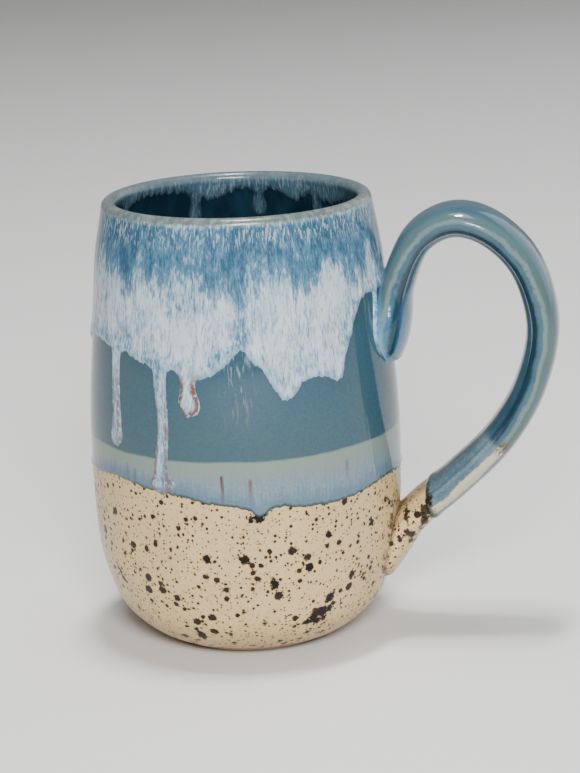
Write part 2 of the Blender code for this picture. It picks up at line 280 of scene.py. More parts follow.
def shell(name, surface, lift, under):
    """A closed mesh between a surface raised by lift and the same surface sunk by under, in mm."""
    points, normals, faces, measures = surface
    normals = normals / np.linalg.norm(normals, axis=1)[:, None]
    top = points + normals * np.asarray(lift)[:, None]
    bottom = points - normals * under
    shift = len(points)
    edges = np.vstack([f[:, [k, (k + 1) % f.shape[1]]] for f in faces for k in range(f.shape[1])])
    keys = edges[:, 0] * shift + edges[:, 1]
    back = edges[:, 1] * shift + edges[:, 0]
    a, b = edges[~np.isin(keys, back)].T
    walls = np.stack([b, a, a + shift, b + shift], axis=1)
    both = [np.vstack([f, f[:, ::-1] + shift]) for f in faces]
    both[0] = np.vstack([both[0], walls])
    doubled = {n: np.concatenate([v, v]) for n, v in measures.items()}
    return mesh_from(name, np.vstack([top, bottom]), both, doubled)


def rounded(edge, thickness, width):
    """A fluid's edge: nothing at the line, full thickness a width away, round between."""
    share = np.clip(edge / width, 0, 1)
    return thickness * np.sqrt(1 - (1 - share) ** 2)


def wander(azimuth, waves, seed):
    """A line's small wandering, from -1 to 1, the same all round and closing on itself."""
    total = sum(np.sin(np.radians(azimuth) * n + seed * 1.7 + k * 2.4) for k, n in enumerate(waves))
    return total / len(waves)


def smooth_max(a, b, blend):
    """The larger of two fields, rounded where they meet."""
    share = np.clip(0.5 + 0.5 * (a - b) / blend, 0, 1)
    return b + (a - b) * share + blend * share * (1 - share)


def apart(azimuth, middle):
    """The distance round the belly between two azimuths, in mm, positive towards the handle."""
    return np.radians((azimuth - middle + 180) % 360 - 180) * BELLY


# %% [markdown]
# The glaze lines. The lower one is where the mug was held when it was dipped in blue, the upper one is
# where the thick white coat stopped sliding. Ten runs went further: thin at the neck, with a bulb where
# the glaze froze. Azimuths run from the front, positive towards the handle.

# %% Glaze lines
BLUE_LINE = (
    (-180, 51.0), (-150, 49.0), (-120, 51.5), (-90, 50.8), (-66, 52.0), (-46, 54.0), (-30, 52.6), (-16, 51.6),
    (-4, 49.8), (6, 48.9), (10, 47.6), (13.3, 46.0), (16.5, 47.6), (20, 48.5), (31, 47.6), (44, 47.4),
    (56, 48.3), (71, 49.5), (92, 48.2), (120, 49.6), (150, 52.0), (180, 51.0),
)
WHITE_LINE = (
    (-180, 88.0), (-166, 86.0), (-150, 82.0), (-138, 85.0), (-120, 90.0), (-100, 86.5), (-88, 85.0),
    (-76, 89.5), (-60, 90.8), (-50, 89.8), (-41, 89.8), (-35, 88.2), (-28, 87.0), (-17.5, 86.6), (-6.5, 84.4),
    (0, 86.2), (5, 89.2), (8.9, 92.0), (12, 89.0), (16, 86.6), (19.5, 82.0), (22.5, 78.4), (25.5, 77.8),
    (28.3, 79.2), (31.5, 82.0), (36, 82.9), (41.5, 82.3), (46, 80.7), (48.6, 82.0), (50.4, 86.0), (54, 91.1),
    (59, 97.5), (65, 101.5), (76, 101.5), (104, 101.0), (112, 97.0), (121, 88.0), (134, 84.0), (150, 86.0),
    (168, 90.0), (180, 88.0),
)
# Each run: azimuth, height of its tip, half-width at the neck, half-width of the bulb, how burnt its rim is.
RUNS = (
    (-44.6, 63.2, 2.0, 2.6, 0.75),
    (-22.0, 52.6, 2.3, 2.0, 0.85),
    (-10.9, 74.7, 2.7, 3.2, 1.00),
    (128.0, 69.0, 1.9, 2.6, 0.60),
    (146.0, 62.0, 2.2, 2.8, 0.70),
    (163.0, 56.0, 1.7, 2.3, 0.90),
    (188.0, 71.0, 2.6, 3.4, 0.50),
    (209.0, 59.0, 1.9, 2.6, 0.80),
    (236.0, 73.0, 2.4, 3.0, 0.60),
    (268.0, 77.0, 2.8, 3.2, 0.40),
)
TOE_AZIMUTH = -22.0
TOE_SPREAD = 2.3
TOE_HEIGHT = 54.6
TOE_RADIUS = 1.9


def line_height(line, azimuth):
    """A glaze line's height at azimuths, smooth between its points."""
    dense = smooth_curve(line, 8)
    return np.interp((azimuth + 180) % 360 - 180, dense[:, 0], dense[:, 1])


def blue_depth(azimuth, height):
    """How far a point lies above the blue glaze's lower line."""
    ragged = 0.35 * wander(azimuth, (31, 58, 83, 127), 1.0) + 0.15 * wander(azimuth, (211, 263), 5.0)
    return height - line_height(BLUE_LINE, azimuth) - ragged


def white_depth(azimuth, height):
    """How far a point lies inside the white glaze, over its line or in a run, and how burnt it is there."""
    level = line_height(WHITE_LINE, azimuth)
    fall = line_height(WHITE_LINE, azimuth + 0.5) - line_height(WHITE_LINE, azimuth - 0.5)
    depth = (height - level) / np.hypot(1, fall / np.radians(BELLY))
    burn = np.zeros_like(depth)
    for middle, tip, neck, bulb, burnt in RUNS:
        root = line_height(WHITE_LINE, np.array([float(middle)]))[0] + 4
        across = apart(azimuth, middle + 0.6 * np.sin(height / 5.0))
        share = np.clip((root - height) / (root - tip), 0, 1)
        half = neck * (1.25 - 0.35 * np.sin(math.pi * share))
        stem = half - np.hypot(across, height - np.clip(height, tip + bulb, root))
        drop = bulb - np.hypot(across, (height - tip - bulb) * 0.8)
        run = smooth_max(stem, drop, 1.2)
        depth = smooth_max(depth, run, 2.2)
        near = np.clip(1.5 + run / 1.5, 0, 1) * np.clip((share - 0.15) / 0.3, 0, 1)
        burn = np.maximum(burn, burnt * near)
    for side in (-1, 1):
        toe = TOE_RADIUS - np.hypot(apart(azimuth, TOE_AZIMUTH) - side * TOE_SPREAD, height - TOE_HEIGHT)
        depth = smooth_max(depth, toe, 0.8)
    ragged = 0.35 * wander(azimuth, (71, 113, 157), 2.0)
    return depth + (ragged + 0.25 * wander(azimuth + height * 3, (197, 241), 3.0)), burn


MOUTH_LINE = (
    (-180, 121.5), (-172, 121.8), (-165, 120.2), (-158, 119.0), (-150, 120.8), (-143, 122.0), (-120, 122.6),
    (-104, 120.5), (-96, 122.5), (-60, 121.5), (-20, 122.5), (25, 121.5), (60, 122.5), (100, 121.0),
    (128, 120.0), (140, 118.5), (150, 121.0), (160, 118.5), (168, 121.0), (174, 121.8), (180, 121.5),
)
# Runs inside the mouth: azimuth, tip height, half-width of the stem, half-width of the bulb.
MOUTH_RUNS = (
    (-150.5, 113.2, 1.6, 2.1),
    (178.5, 114.6, 1.5, 2.3),
    (-104.5, 113.0, 1.8, 2.2),
    (148.0, 115.5, 1.6, 1.8),
    (60.0, 112.0, 1.7, 2.3),
    (-30.0, 114.5, 1.6, 2.0),
    (12.0, 116.0, 1.3, 1.8),
)


def mouth_depth(azimuth, height):
    """How far a point inside the mouth lies inside the white glaze."""
    depth = height - line_height(MOUTH_LINE, azimuth) - 0.9 * wander(azimuth, (67, 89, 118), 4.0)
    for middle, tip, stem, bulb in MOUTH_RUNS:
        across = apart(azimuth, middle) * 0.8
        run = stem - np.hypot(across, height - np.clip(height, tip + bulb, 126.0))
        drop = bulb - np.hypot(across, (height - tip - bulb) * 0.7)
        depth = smooth_max(depth, smooth_max(run, drop, 0.8), 1.4)
    return depth + 0.15 * wander(azimuth, (173, 229), 6.0)


# %% [markdown]
# Each finish is a small tree of nodes. One function turns the hex colours of a colour card into the linear
# values that a shader works in, and one adds a node with its settings and links. The rest are steps that a
# glazer would name: a mottled pattern, a measure that sways with it, and a wash of colour over another where
# some things hold.

# %% Node helpers
def linear(hex_colour):
    """A linear colour with alpha from an sRGB hex colour."""
    values = [int(hex_colour[k:k + 2], 16) / 255 for k in (1, 3, 5)]
    return (*[v / 12.92 if v <= 0.04045 else ((v + 0.055) / 1.055) ** 2.4 for v in values], 1.0)


def plug(tree, value, socket):
    """Sets a socket to a value or a hex colour, or links it to a socket or to a node's first live output."""
    if isinstance(value, bpy.types.Node):
        value = next(output for output in value.outputs if output.enabled)
    if isinstance(value, bpy.types.NodeSocket):
        tree.links.new(value, socket)
    else:
        socket.default_value = linear(value) if isinstance(value, str) else value


def add_node(tree, kind, inputs=(), **settings):
    """Adds a node. The inputs come in the order of its live sockets, or in a dict by name."""
    node = tree.nodes.new(kind)
    for key, value in settings.items():
        setattr(node, key, value)
    live = [socket for socket in node.inputs if socket.enabled]
    named = isinstance(inputs, dict)
    pairs = [(node.inputs[key], value) for key, value in inputs.items()] if named else zip(live, inputs)
    for socket, value in pairs:
        plug(tree, value, socket)
    return node


def new_look(name, roughness, measures=(), **sockets):
    """A material with its tree, its shader and the measures it reads. Extra sockets are the shader's own."""
    look = bpy.data.materials.new(name)
    look.use_nodes = True
    shader = look.node_tree.nodes["Principled BSDF"]
    shader.inputs["Roughness"].default_value = roughness
    for key, value in sockets.items():
        shader.inputs[key.replace("_", " ")].default_value = value
    tree = look.node_tree
    read = [add_node(tree, "ShaderNodeAttribute", attribute_name=m).outputs["Fac"] for m in measures]
    return look, tree, shader, read


def object_space(tree, fall=1.0):
    """Object coordinates in millimetres. A small fall draws patterns out down the wall."""
    scale = (1 / MM, 1 / MM, fall / MM)
    coordinates = add_node(tree, "ShaderNodeTexCoord").outputs["Object"]
    return add_node(tree, "ShaderNodeMapping", {"Vector": coordinates, "Scale": scale}).outputs["Vector"]


def mottling(tree, size, detail=2.0, roughness=0.5, fall=1.0):
    """A soft pattern whose features are about size mm across."""
    inputs = (object_space(tree, fall), 1.0 / size, detail, roughness)
    return add_node(tree, "ShaderNodeTexNoise", inputs)


def share_where(tree, *conditions):
    """How far several things hold at once, as a product of shares. A condition is a share, or a measure with
    two limits, whose share goes smoothly from 0 to 1 between them, or from and to two shares given after."""
    share = None
    for condition in conditions:
        if isinstance(condition, tuple):
            condition = add_node(tree, "ShaderNodeMapRange", condition, interpolation_type="SMOOTHSTEP")
        both = (share, condition)
        share = condition if share is None else add_node(tree, "ShaderNodeMath", both, operation="MULTIPLY")
    return share


def washed(tree, colour, wash, *conditions):
    """One colour laid over another where the conditions hold."""
    return add_node(tree, "ShaderNodeMix", (share_where(tree, *conditions), colour, wash), data_type="RGBA")


def swayed(tree, value, pattern, amount, middle=0.5):
    """A measure moved to and fro by a pattern about its middle."""
    offset = add_node(tree, "ShaderNodeMath", (pattern, middle), operation="SUBTRACT")
    offset = add_node(tree, "ShaderNodeMath", (offset, amount), operation="MULTIPLY")
    return add_node(tree, "ShaderNodeMath", (value, offset), operation="ADD")


def away_from(tree, value, middle):
    """How far a measure is from a middle value."""
    offset = add_node(tree, "ShaderNodeMath", (value, middle), operation="SUBTRACT")
    return add_node(tree, "ShaderNodeMath", (offset,), operation="ABSOLUTE")


def round_from(tree, across, up):
    """The straight distance of a point whose offsets are across and up."""
    squares = [add_node(tree, "ShaderNodeMath", (side, side), operation="MULTIPLY") for side in (across, up)]
    total = add_node(tree, "ShaderNodeMath", squares, operation="ADD")
    return add_node(tree, "ShaderNodeMath", (total,), operation="SQRT")


def finish_look(tree, shader, colour, relief, strength, depth):
    """Gives the shader its colour, and a fine relief of a depth in mm."""
    inputs = {"Strength": strength, "Distance": depth * MM, "Height": relief}
    plug(tree, colour, shader.inputs["Base Color"])
    plug(tree, add_node(tree, "ShaderNodeBump", inputs), shader.inputs["Normal"])


# %% [markdown]
# White run glaze. It is a milky glass full of fine crystals that slid down the wall while it was liquid, so
# its pattern is stretched: threads under a millimetre wide and several long. It is thin and blue just under
# the rim, thickest and palest above the drips, and burnt to terracotta where a drip froze over the iron.

# %% White glaze finish
CUSP_AZIMUTH = 8.5
MILK = ("#c1c9cd", "#b1bdc5", "#93a8b6", "#50768f", "#2b4f66")


def white_glaze_look():
    # A fired gloss, so lamps lie sharp in it; crystals under the skin scatter light and look milky.
    measures = ("height", "edge", "burn", "inside", "azimuth")
    look, tree, shader, read = new_look("white_run_glaze", 0.14, measures, Specular_IOR_Level=0.35)
    height, edge, burnt, inside, azimuth = read
    fine = mottling(tree, 0.5, 4.0, 0.65, fall=0.2)
    middle = mottling(tree, 1.7, 3.0, 0.6, fall=0.22)
    broad = mottling(tree, 6.0, 3.0, 0.6, fall=0.35)
    patches = mottling(tree, 10.0, 2.0, fall=0.6)
    drop = add_node(tree, "ShaderNodeMath", (HEIGHT, height), operation="SUBTRACT")
    wave = swayed(tree, drop, broad, 26.0)
    upper = share_where(tree, (drop, 1.0, 3.0), (wave, 6.0, 27.0, 1.0, 0.0))
    lower = share_where(tree, (edge, 0.0, 7.0, 0.2, 0.0))
    across = away_from(tree, azimuth, CUSP_AZIMUTH)
    spread = swayed(tree, across, middle, 5.0, 0.0)
    cusp = share_where(tree, (spread, 2.5, 8.0, 0.34, 0.0), (height, 104.0, 112.0, 1.0, 0.2))
    share = swayed(tree, add_node(tree, "ShaderNodeMath", (lower, cusp), operation="ADD"), upper, 0.84, 0.0)
    for pattern, amount, centre in ((fine, 1.9, 0.5), (middle, 1.25, 0.5), (patches, 1.0, 0.46)):
        share = swayed(tree, share, pattern, amount, centre)
    colour = washed(tree, MILK[0], MILK[1], (broad, 0.4, 0.66))
    colour = washed(tree, colour, "#a9b1a6", (patches, 0.5, 0.68, 0.0, 0.5))
    for tint, low, high in zip(MILK[2:], (-0.1, 0.15, 0.4), (0.22, 0.55, 1.15)):
        colour = washed(tree, colour, tint, (share, low, high))
    flecks, _ = speckles(tree, 3.4, 0.28, 0.5, fine, fall=0.45)
    colour = washed(tree, colour, "#5b5148", flecks, 0.75)
    worn = washed(tree, "#4c5755", "#6b7672", (middle, 0.38, 0.62))
    colour = washed(tree, colour, worn, (drop, 1.2, 2.6, 0.95, 0.0))
    strings = mottling(tree, 0.55, 3.0, 0.6, fall=0.07)
    strung = share_where(tree, (drop, 1.0, 1.8), (drop, 4.0, 11.0, 0.8, 0.0), (strings, 0.54, 0.58, 0.0, 0.7))
    colour = washed(tree, colour, "#aebcc2", strung)
    ragged = swayed(tree, edge, middle, 1.6)
    halo = share_where(tree, (ragged, 0.5, 1.8, 1.0, 0.0), 0.55)
    colour = washed(tree, colour, "#7fa3b8", halo)
    scorch = share_where(tree, (ragged, 0.05, 0.35), (ragged, 0.9, 1.7, 1.0, 0.0),
                         (mottling(tree, 1.3, 2.0), 0.3, 0.5))
    colour = washed(tree, colour, "#6e4a39", scorch, burnt)
    outline = share_where(tree, (edge, 0.0, 0.35, 1.0, 0.0), (inside, 0.0, 1.0, 0.6, 0.2))
    colour = washed(tree, colour, "#2e3a3c", outline)
    feather = swayed(tree, edge, fine, 5.0)
    feather = share_where(tree, (feather, 0.1, 2.4, 0.92, 0.0), inside)
    # Inside the mouth the colour is darkened to grey-blue: painted shade in the hollow of the mouth.
    shade = washed(tree, colour, "#455962", inside, 0.6)
    colour = washed(tree, shade, "#172c37", feather)
    relief = swayed(tree, fine, mottling(tree, 3.5, 2.0), 2.0, 0.0)
    finish_look(tree, shader, colour, relief, 0.22, 0.14)
    return look


# %% [markdown]
# Blue gloss glaze. Where it lies alone it is a deep, even steel blue. From the second dip down it lies over
# the cream glaze and turns to a pale celadon band, bluer again lower down, and it collects in a dark bead
# along its bottom line. A few grains of iron have bled down through the band.

# %% Blue glaze finish
BAND_TOP = 62.0
BLUES = ("#2e4b5a", "#324d55", "#3e5f6e")
BAND = ("#768379", "#708187", "#5f7385", "#76868d")
# Iron streaks: azimuth, top, bottom, half-width in mm, strength.
STREAKS = (
    (0.4, 58.2, 51.0, 0.35, 1.0),
    (10.3, 57.0, 50.0, 0.40, 0.7),
    (-34.5, 58.0, 53.5, 0.40, 0.5),
    (-38.5, 59.0, 55.0, 0.30, 0.4),
    (47.3, 58.8, 54.0, 0.30, 0.5),
    (150.0, 59.0, 53.5, 0.40, 0.8),
    (-120.0, 58.0, 53.0, 0.35, 0.6),
)


def streak_share(tree, azimuth, height, streak, ragged):
    """How strongly a named iron streak shows: a dark core that starts sharply and trails off below."""
    middle, top, bottom, half, strength = streak
    width = math.degrees(half / BELLY)
    offset = add_node(tree, "ShaderNodeMath", (azimuth, middle), operation="SUBTRACT")
    across = add_node(tree, "ShaderNodeMath", (swayed(tree, offset, ragged, 1.2),), operation="ABSOLUTE")
    side = (across, 0.2 * width, 2.0 * width, 1.0, 0.0)
    fade = (height, bottom - 1.0, top - 1.0, 0.35, 1.0)
    low_end, high_end = (height, bottom - 1.5, bottom), (height, top - 0.6, top + 0.3, 1.0, 0.0)
    return share_where(tree, side, fade, low_end, high_end, strength)


def blue_glaze_look():
    # A clear fired gloss over a dark colour: deep and even, with crisp reflections.
    measures = ("azimuth", "height", "edge")
    look, tree, shader, read = new_look("blue_gloss_glaze", 0.08, measures, Specular_IOR_Level=0.40)
    azimuth, height, edge = read
    mottle = mottling(tree, 0.7, 3.0, 0.65)
    cloud = mottling(tree, 16.0, 2.0)
    threads = mottling(tree, 0.8, 3.0, 0.6, fall=0.12)
    deep = washed(tree, BLUES[0], BLUES[1], (cloud, 0.35, 0.65))
    deep = washed(tree, deep, BLUES[2], (mottle, 0.35, 0.7, 0.0, 0.35))
    # A pale, thready vertical band near the cusp, facing the camera: a painted highlight.
    near_cusp = away_from(tree, azimuth, CUSP_AZIMUTH - 1.0)
    painted_highlight_threads = share_where(tree, (near_cusp, 1.0, 8.0, 0.5, 0.0), (threads, 0.52, 0.68), (height, 68.0, 88.0))
    deep = washed(tree, deep, "#9fb4bf", painted_highlight_threads)
    wave = swayed(tree, height, cloud, 1.5, 0.0)
    under = add_node(tree, "ShaderNodeMath", (BAND_TOP + 0.7, wave), operation="SUBTRACT")
    celadon = washed(tree, BAND[0], BAND[1], (under, 1.5, 8.0))
    streaky = swayed(tree, mottle, threads, 0.8)
    lilac = washed(tree, BAND[2], BAND[3], (streaky, 0.38, 0.62))
    band = washed(tree, celadon, lilac, (under, 2.0, 10.0, 0.15, 0.75))
    rust = share_where(tree, (threads, 0.6, 0.74), (under, 4.0, 8.0))
    band = washed(tree, band, "#6f5a4b", rust, 0.35)
    colour = washed(tree, deep, band, (under, -0.35, 0.5))
    low = swayed(tree, edge, threads, 5.0)
    colour = washed(tree, colour, "#4c6a7b", (low, 1.0, 6.0, 0.85, 0.0))
    for streak in STREAKS:
        colour = washed(tree, colour, "#4f3626", streak_share(tree, azimuth, height, streak, threads))
    bead = swayed(tree, edge, mottling(tree, 1.6, 3.0), 1.0, 0.0)
    colour = washed(tree, colour, "#2a3b3d", (bead, 0.9, 1.8, 0.92, 0.0))
    finish_look(tree, shader, colour, mottling(tree, 5.0, 2.0), 0.1, 0.35)
    return look


# %% [markdown]
# Speckled cream glaze. Grains of iron in the clay melt up through a satin buff glaze and leave dark spots
# with a brown halo, from pin-pricks to blots. Four layers of cells give the four sizes: each cell holds
# one grain, and the cell's own random number says how big it is, or whether it is there at all.

# %% Cream glaze finish
# Blots: azimuth, height, radius in mm.
BLOTS = (
    (38.2, 15.0, 2.0), (34.6, 13.4, 1.8), (36.6, 12.2, 1.5), (40.8, 19.0, 1.7), (41.6, 15.6, 1.2),
    (32.4, 12.4, 1.2), (39.6, 12.8, 1.1), (-14.3, 8.8, 1.8), (12.8, 46.0, 1.7), (9.8, 45.4, 1.1),
    (15.0, 47.0, 1.0), (17.8, 26.0, 1.5), (7.2, 34.0, 1.5), (-6.4, 34.0, 1.3), (31.0, 30.0, 1.3),
    (39.0, 38.5, 1.2), (60.0, 38.0, 1.1),
)
# Specks: spacing and greatest radius in mm, and the share of cells that hold one.
SPECKS = ((0.95, 0.26, 0.75), (1.4, 0.46, 0.70), (2.5, 0.80, 0.55), (4.6, 1.35, 0.55))
CREAMS = ("#ceb483", "#c7af7f", "#b49768")


def speckles(tree, spacing, radius, chance, ragged, fall=1.0):
    """Spots of random size, one to a cell: 1 inside a spot, and how near its halo reaches."""
    cells = add_node(tree, "ShaderNodeTexVoronoi", {"Vector": object_space(tree, fall), "Scale": 1 / spacing})
    tone = add_node(tree, "ShaderNodeSeparateColor", {"Color": cells.outputs["Color"]}).outputs["Red"]
    size = share_where(tree, (tone, 1 - chance, 1.0, 0.0, radius / spacing))
    away = swayed(tree, cells, ragged, 0.5 * radius / spacing, 0.0)
    gap = add_node(tree, "ShaderNodeMath", (away, size), operation="SUBTRACT")
    soft = 0.09 * radius / spacing + 0.008
    present = share_where(tree, (size, 0.0, 0.1 * radius / spacing))
    spot = share_where(tree, (gap, -soft, soft, 1.0, 0.0), present)
    halo = share_where(tree, (gap, 0.0, 0.25 / spacing, 1.0, 0.0), present)
    return spot, halo


def blot_share(tree, azimuth, height, blot, ragged):
    """A named blot of iron on the wall."""
    middle, level, radius = blot
    across = add_node(tree, "ShaderNodeMath", (azimuth, middle), operation="SUBTRACT")
    across = add_node(tree, "ShaderNodeMath", (across, math.radians(BELLY)), operation="MULTIPLY")
    up = add_node(tree, "ShaderNodeMath", (height, level), operation="SUBTRACT")
    away = swayed(tree, round_from(tree, across, up), ragged, 1.3, 0.0)
    return share_where(tree, (away, radius - 0.35, radius + 0.25, 1.0, 0.0))


def cream_colour(tree, azimuth=None, height=None):
    """The cream glaze's colour with its iron spots."""
    ragged = add_node(tree, "ShaderNodeMath", (mottling(tree, 0.9, 3.0, 0.65), 0.5), operation="SUBTRACT")
    ragged = add_node(tree, "ShaderNodeMath", (ragged, 2.4), operation="MULTIPLY")
    colour = washed(tree, CREAMS[0], CREAMS[1], (mottling(tree, 14.0, 2.0), 0.35, 0.65))
    colour = washed(tree, colour, CREAMS[2], (mottling(tree, 1.4, 2.0), 0.35, 0.75, 0.0, 0.25))
    for spacing, radius, chance in SPECKS:
        spot, halo = speckles(tree, spacing, radius, chance, ragged)
        colour = washed(tree, colour, "#7d5c38", halo, 0.6)
        colour = washed(tree, colour, "#140c08", spot, 0.96)
    if azimuth:
        for blot in BLOTS:
            colour = washed(tree, colour, "#120b08", blot_share(tree, azimuth, height, blot, ragged))
    return colour


def cream_glaze_look():
    # A satin glaze: light spreads softly over it, and the iron spots sink into it.
    measures = ("azimuth", "height")
    look, tree, shader, read = new_look("speckled_cream_glaze", 0.30, measures, Specular_IOR_Level=0.20)
    azimuth, height = read
    colour = cream_colour(tree, azimuth, height)
    finish_look(tree, shader, colour, mottling(tree, 2.6, 3.0), 0.18, 0.25)
    return look


# %% [markdown]
# The liner is a dark teal gloss, poured in and out again, so it is even and deep. Bare stoneware shows only
# on the wiped foot: a warm, gritty buff with fine iron grains.

# %% Liner and clay finishes
def liner_glaze_look():
    # A poured gloss that fires almost black-blue, with the mouth mirrored in its floor.
    look, tree, shader, _ = new_look("teal_liner_glaze", 0.10)
    cloud = mottling(tree, 5.0, 3.0, fall=0.4)
    colour = washed(tree, "#0f212d", "#182f3c", (cloud, 0.35, 0.7))
    finish_look(tree, shader, colour, mottling(tree, 6.0, 2.0), 0.1, 0.3)
    return look


def stoneware_look(name, light, dark):
    # Fired clay without glaze: dry, rough and gritty, with no gloss at all.
    look, tree, shader, _ = new_look(name, 0.8)
    grit = mottling(tree, 0.6, 4.0, 0.7)
    colour = washed(tree, light, dark, (grit, 0.35, 0.7))
    spot, _ = speckles(tree, 2.2, 0.35, 0.6, grit)
    colour = washed(tree, colour, "#33251c", spot)
    finish_look(tree, shader, colour, grit, 0.6, 0.12)
    return look


white_look = white_glaze_look()
blue_look = blue_glaze_look()
cream_look = cream_glaze_look()
liner_look = liner_glaze_look()
clay_look = stoneware_look("bare_stoneware", "#b99a76", "#9a7a58")
print("finishes:", ", ".join(m.name for m in (white_look, blue_look, cream_look, liner_look, clay_look)))

# %% [markdown]
# The clay cup and the liner are pure turned shapes, so they are made by a rule: a tree of geometry nodes
# lays out a flat grid, reads the outline's radius and height along one side of the grid and an angle along
# the other, and bends the grid into the pot. A modifier could also spin the outline, but the tree keeps its
# sizes as named inputs that can be changed afterwards.

# %% Turn a pot with geometry nodes
SEAM = 2e-6


def start_group(name, line, sizes, made):
    """A node group that takes a line and named sizes, each a kind and a value, and gives one shape."""
    tree = bpy.data.node_groups.new(name, "GeometryNodeTree")
    tree.interface.new_socket(line, in_out="INPUT", socket_type="NodeSocketGeometry")
    for size, (kind, value) in sizes.items():
        tree.interface.new_socket(size, in_out="INPUT", socket_type=kind).default_value = value
    tree.interface.new_socket(made, in_out="OUTPUT", socket_type="NodeSocketGeometry")
    return tree, add_node(tree, "NodeGroupInput").outputs


def finish_group(tree, shape, merge, look):
    """Closes the shape's seams, makes any instance real, and gives it its finish."""
    shape = add_node(tree, "GeometryNodeMergeByDistance", {"Geometry": shape, "Distance": merge})
    shape = add_node(tree, "GeometryNodeRealizeInstances", {"Geometry": shape})
    shape = add_node(tree, "GeometryNodeSetMaterial", {"Geometry": shape, "Material": look})
    add_node(tree, "NodeGroupOutput", (shape,))
    return tree


def turned_tree(look):
    """A node group that turns the outline it is given about the vertical axis."""
    sizes = {"Columns": ("NodeSocketInt", 180), "Rows": ("NodeSocketInt", 220)}
    tree, given = start_group("turned_pot", "Outline", sizes, "Pot")
    around = add_node(tree, "ShaderNodeMath", (given["Columns"], 1.0), operation="ADD")
    grid = add_node(tree, "GeometryNodeMeshGrid", (1.0, 1.0, around, given["Rows"]))
    place = add_node(tree, "ShaderNodeSeparateXYZ", (add_node(tree, "GeometryNodeInputPosition"),)).outputs
    factor = add_node(tree, "ShaderNodeMath", (place["Y"], 0.5), operation="ADD")
    angle = add_node(tree, "ShaderNodeMath", (place["X"], math.tau), operation="MULTIPLY")
    line = add_node(tree, "GeometryNodeMeshToCurve", {"Mesh": given["Outline"]})
    read = add_node(tree, "GeometryNodeSampleCurve", {"Curves": line, "Factor": factor}, mode="FACTOR")
    outline = add_node(tree, "ShaderNodeSeparateXYZ", (read.outputs["Position"],)).outputs
    sides = []
    for operation in ("SINE", "COSINE"):
        turn = add_node(tree, "ShaderNodeMath", (angle,), operation=operation)
        sides.append(add_node(tree, "ShaderNodeMath", (outline["X"], turn), operation="MULTIPLY"))
    bent = add_node(tree, "ShaderNodeCombineXYZ", (*sides, outline["Z"]))
    pot = add_node(tree, "GeometryNodeSetPosition", {"Geometry": grid, "Position": bent})
    return finish_group(tree, pot, SEAM, look)


def run_tree(name, line, tree, look, settings=(), closed=False):
    """Runs a node group on a line of points in mm, and keeps the result as a plain mesh that faces out."""
    mesh = bpy.data.meshes.new(name)
    points = [tuple(v * MM for v in p) for p in line]
    links = [(k, k + 1) for k in range(len(points) - 1)] + [(len(points) - 1, 0)] * closed
    mesh.from_pydata(points, links, [])
    guide = bpy.data.objects.new(name + "_guide", mesh)
    bpy.context.scene.collection.objects.link(guide)
    modifier = guide.modifiers.new("shape", "NODES")
    modifier.node_group = tree
    sockets = {item.name: item.identifier for item in tree.interface.items_tree if item.in_out == "INPUT"}
    for key, value in dict(settings).items():
        modifier[sockets[key]] = value
    bpy.context.view_layer.update()
    made = bpy.data.meshes.new_from_object(guide.evaluated_get(bpy.context.evaluated_depsgraph_get()))
    bpy.data.objects.remove(guide, do_unlink=True)
    if signed_volume(made) < 0:
        made.flip_normals()
    made.name = name
    return add_object(name, made, look)


def signed_volume(mesh):
    """A closed mesh's volume, negative when it is inside out."""
    mesh.calc_loop_triangles()
    points = np.empty(len(mesh.vertices) * 3)
    mesh.vertices.foreach_get("co", points)
    corners = np.empty(len(mesh.loop_triangles) * 3, np.int32)
    mesh.loop_triangles.foreach_get("vertices", corners)
    a, b, c = points.reshape(-1, 3)[corners.reshape(-1, 3)].transpose(1, 0, 2)
    return float(np.einsum("ij,ij->i", a, np.cross(b, c)).sum() / 6)


def skin_outline(low, high, top, bottom):
    """A closed outline between two depths over a stretch of the section, for a skin that reaches the axis."""
    places = np.arange(low, high, 0.8)
    places = np.append(places, high)
    radius, height, out, up = on_section(places)
    upper = np.stack([radius - top * out, np.zeros_like(radius), height - top * up], 1)
    lower = np.stack([radius - bottom * out, np.zeros_like(radius), height - bottom * up], 1)
    upper[-1, 0] = lower[-1, 0] = 0.0
    return np.vstack([upper[::-1], lower])


CLAY_DEPTH = 0.6
LINER_UNDER = 0.5
end = section_along[-1]
places = np.append(np.arange(outside_place(2.4), end, 0.7), end)
radius, height, out, up = on_section(places)
clay_skin = np.stack([radius - CLAY_DEPTH * out, 0 * radius, height - CLAY_DEPTH * up], 1)
clay_skin[-1, 0] = 0.0
foot_line = [(0.0, 0.0), (12.0, 0.0), (FOOT - 0.6, 0.0), (FOOT, 0.35), (FOOT + 1.6, 1.3)]
clay_outline = np.vstack([[(radius, 0.0, height) for radius, height in foot_line], clay_skin])
pot_sizes = {"Columns": 160, "Rows": 260}
cup_clay = run_tree("thrown_cup", clay_outline, turned_tree(clay_look), clay_look, pot_sizes)
liner_outline = skin_outline(inside_place(125.2), end, 0.05, LINER_UNDER)
pot_sizes["Rows"] = 240
liner = run_tree("liner_coat", liner_outline, turned_tree(liner_look), liner_look, pot_sizes)
print(f"turned {len(cup_clay.data.polygons)} faces of clay and {len(liner.data.polygons)} of liner")

# %% [markdown]
# Three coats lie on the outside: cream from the wiped foot up, blue from its line to under the white, and
# white from its runs over the lip into the mouth. Each is a grid read off the section and then trimmed.

# %% Coats on the cup
COLUMNS = 420
# How far each coat reaches below the surface, in mm, so that no gap shows under its edge.
CREAM_UNDER, BLUE_UNDER, WHITE_UNDER = 0.75, 0.6, 0.5


def add_measures(surface, **extra):
    """The same surface with more measures."""
    points, normals, faces, measures = surface
    return points, normals, faces, {**measures, **extra}


